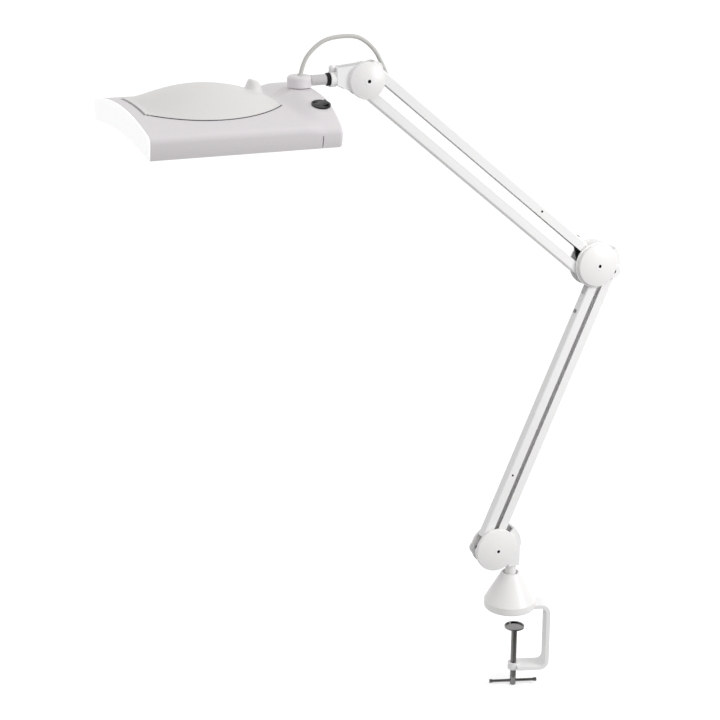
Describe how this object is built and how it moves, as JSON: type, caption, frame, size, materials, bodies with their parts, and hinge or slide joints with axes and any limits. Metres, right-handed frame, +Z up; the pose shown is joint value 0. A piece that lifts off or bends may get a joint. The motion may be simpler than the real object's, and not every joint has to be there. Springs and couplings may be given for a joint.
{
  "type": "magnifier lamp",
  "caption": "Clamp-on magnifier lamp with two spring-balanced parallelogram arms, a turning neck and a flat arched head that holds a large lens under a hinged cover.",
  "frame": {"origin": "on the swivel axis at the underside of the clamp's upper jaw, where it sits on the table top", "axes": "+Z up along the swivel axis; the arms lie in the X-Z plane with the head towards -X; +Y to the lamp's far side"},
  "size_m": [0.639, 0.238, 0.8783],
  "materials": {
    "white_metal": "white powder coat",
    "cover_plastic": "white moulded discs and base cover",
    "head_plastic": "light grey moulded housing",
    "lid_plastic": "light grey moulded lens cover",
    "opal": "opal white",
    "black_plastic": "black moulded",
    "black_gloss": "black switch",
    "lens_glass": "clear ground lens",
    "steel": "bright zinc plated",
    "chrome": "satin plated",
    "lead_cover": "white flexible lead",
    "board": "white light board"
  },
  "bodies": {
    "clamp": {"clamp_frame": "white_metal", "base_cone": "cover_plastic", "pivot_bush": "steel"},
    "pad": {"clamp_pad": "steel"},
    "screw": {"clamp_screw": "steel"},
    "tommy": {"tommy_bar": "steel"},
    "turret": {"base_post": "steel", "base_bracket": "white_metal", "base_pins": "steel", "base_disc_front": "cover_plastic", "base_disc_rear": "cover_plastic", "base_disc_screws": "white_metal", "lower_pull_link": "black_plastic"},
    "lower_main": {"lower_main_channel": "white_metal", "lower_web_screw": "steel", "lower_spring": "steel", "lower_spring_plugs": "black_plastic", "lower_spring_pin": "steel"},
    "lower_link": {"lower_link_channel": "white_metal"},
    "elbow": {"elbow_bracket": "white_metal", "elbow_pins": "steel", "elbow_disc_front": "cover_plastic", "elbow_disc_rear": "cover_plastic", "elbow_disc_screws": "white_metal", "upper_pull_link": "black_plastic"},
    "upper_main": {"upper_main_channel": "white_metal", "upper_web_screw": "steel", "upper_spring": "steel", "upper_spring_plugs": "black_plastic", "upper_spring_pin": "steel"},
    "upper_link": {"upper_link_channel": "white_metal"},
    "wrist": {"wrist_bracket": "white_metal", "wrist_pins": "steel", "wrist_disc_front": "cover_plastic", "wrist_disc_rear": "cover_plastic", "wrist_disc_screws": "white_metal", "neck_lock_screw": "cover_plastic", "friction_ring": "black_plastic", "head_lead": "lead_cover", "arm_lead": "lead_cover"},
    "neck": {"neck_tube": "chrome", "neck_nut": "steel", "swivel_collar": "head_plastic", "lead_gland": "lead_cover"},
    "head": {"head_shell": "head_plastic", "head_frame": "head_plastic", "end_cap": "opal", "lens": "lens_glass", "lens_retainer": "opal", "light_boards": "board", "diffusers": "opal", "driver_box": "black_plastic", "swivel_bolt": "steel", "swivel_nut": "steel", "head_screws": "steel", "hinge_pins": "steel", "switch_bezel": "black_plastic"},
    "cover": {"lens_cover": "lid_plastic"},
    "rocker": {"switch_rocker": "black_gloss"}
  },
  "joints": [
    {"name": "clamp_travel", "type": "slide", "parent": "clamp", "child": "pad", "axis": [0, 0, 1], "range_m": [-0.048, 0.009]},
    {"name": "screw_turn", "type": "hinge", "parent": "pad", "child": "screw", "pos_m": [0.00717, -0.00219, 0], "axis": [0, 0, 1], "range_deg": [-5760, 1080]},
    {"name": "tommy_slide", "type": "slide", "parent": "screw", "child": "tommy", "axis": [0.9563, -0.2924, 0], "range_m": [-0.0235, 0.0235]},
    {"name": "base_swivel", "type": "hinge", "parent": "clamp", "child": "turret", "pos_m": [0, 0, 0], "axis": [0, 0, 1], "range_deg": [-175, 175]},
    {"name": "lower_arm_swing", "type": "hinge", "parent": "turret", "child": "lower_main", "pos_m": [-0.0475, 0, 0.0905], "axis": [0, 1, 0], "range_deg": [-67.5, 6.5], "deforming": ["lower_pull_link"]},
    {"name": "lower_link_swing", "type": "hinge", "parent": "turret", "child": "lower_link", "pos_m": [-0.0274, 0, 0.0905], "axis": [0, 1, 0], "range_deg": [-67.5, 6.5]},
    {"name": "elbow_level", "type": "hinge", "parent": "lower_main", "child": "elbow", "pos_m": [0.11029, 0, 0.44825], "axis": [0, 1, 0], "range_deg": [-6.5, 67.5]},
    {"name": "upper_arm_swing", "type": "hinge", "parent": "elbow", "child": "upper_main", "pos_m": [0.10839, 0, 0.46515], "axis": [0, 1, 0], "range_deg": [-56, 35], "deforming": ["upper_pull_link"]},
    {"name": "upper_link_swing", "type": "hinge", "parent": "elbow", "child": "upper_link", "pos_m": [0.09148, 0, 0.445], "axis": [0, 1, 0], "range_deg": [-56, 35]},
    {"name": "wrist_level", "type": "hinge", "parent": "upper_main", "child": "wrist", "pos_m": [-0.1981, 0, 0.72141], "axis": [0, 1, 0], "range_deg": [-35, 56], "deforming": ["arm_lead"]},
    {"name": "neck_roll", "type": "hinge", "parent": "wrist", "child": "neck", "pos_m": [-0.2457, 0, 0.71171], "axis": [1, 0, 0], "range_deg": [-50, 50], "deforming": ["head_lead"]},
    {"name": "head_swivel", "type": "hinge", "parent": "neck", "child": "head", "pos_m": [-0.289, 0, 0.71171], "axis": [0, -0.0279, 0.9996], "range_deg": [-45, 45]},
    {"name": "cover_hinge", "type": "hinge", "parent": "head", "child": "cover", "pos_m": [-0.4813, 0.00049, 0.69422], "axis": [0, -0.9996, -0.0279], "range_deg": [0, 105]},
    {"name": "rocker_tilt", "type": "hinge", "parent": "head", "child": "rocker", "pos_m": [-0.2902, -0.07227, 0.69544], "axis": [0, 0.9615, 0.2747], "range_deg": [0, 18]}
  ],
  "couplings": [
    {"joint": "clamp_travel", "follows": "screw_turn", "m_per_rad": 0.00047746},
    {"joint": "lower_link_swing", "follows": "lower_arm_swing", "ratio": 1},
    {"joint": "elbow_level", "follows": "lower_arm_swing", "ratio": -1},
    {"joint": "upper_link_swing", "follows": "upper_arm_swing", "ratio": 1},
    {"joint": "wrist_level", "follows": "upper_arm_swing", "ratio": -1}
  ]
}
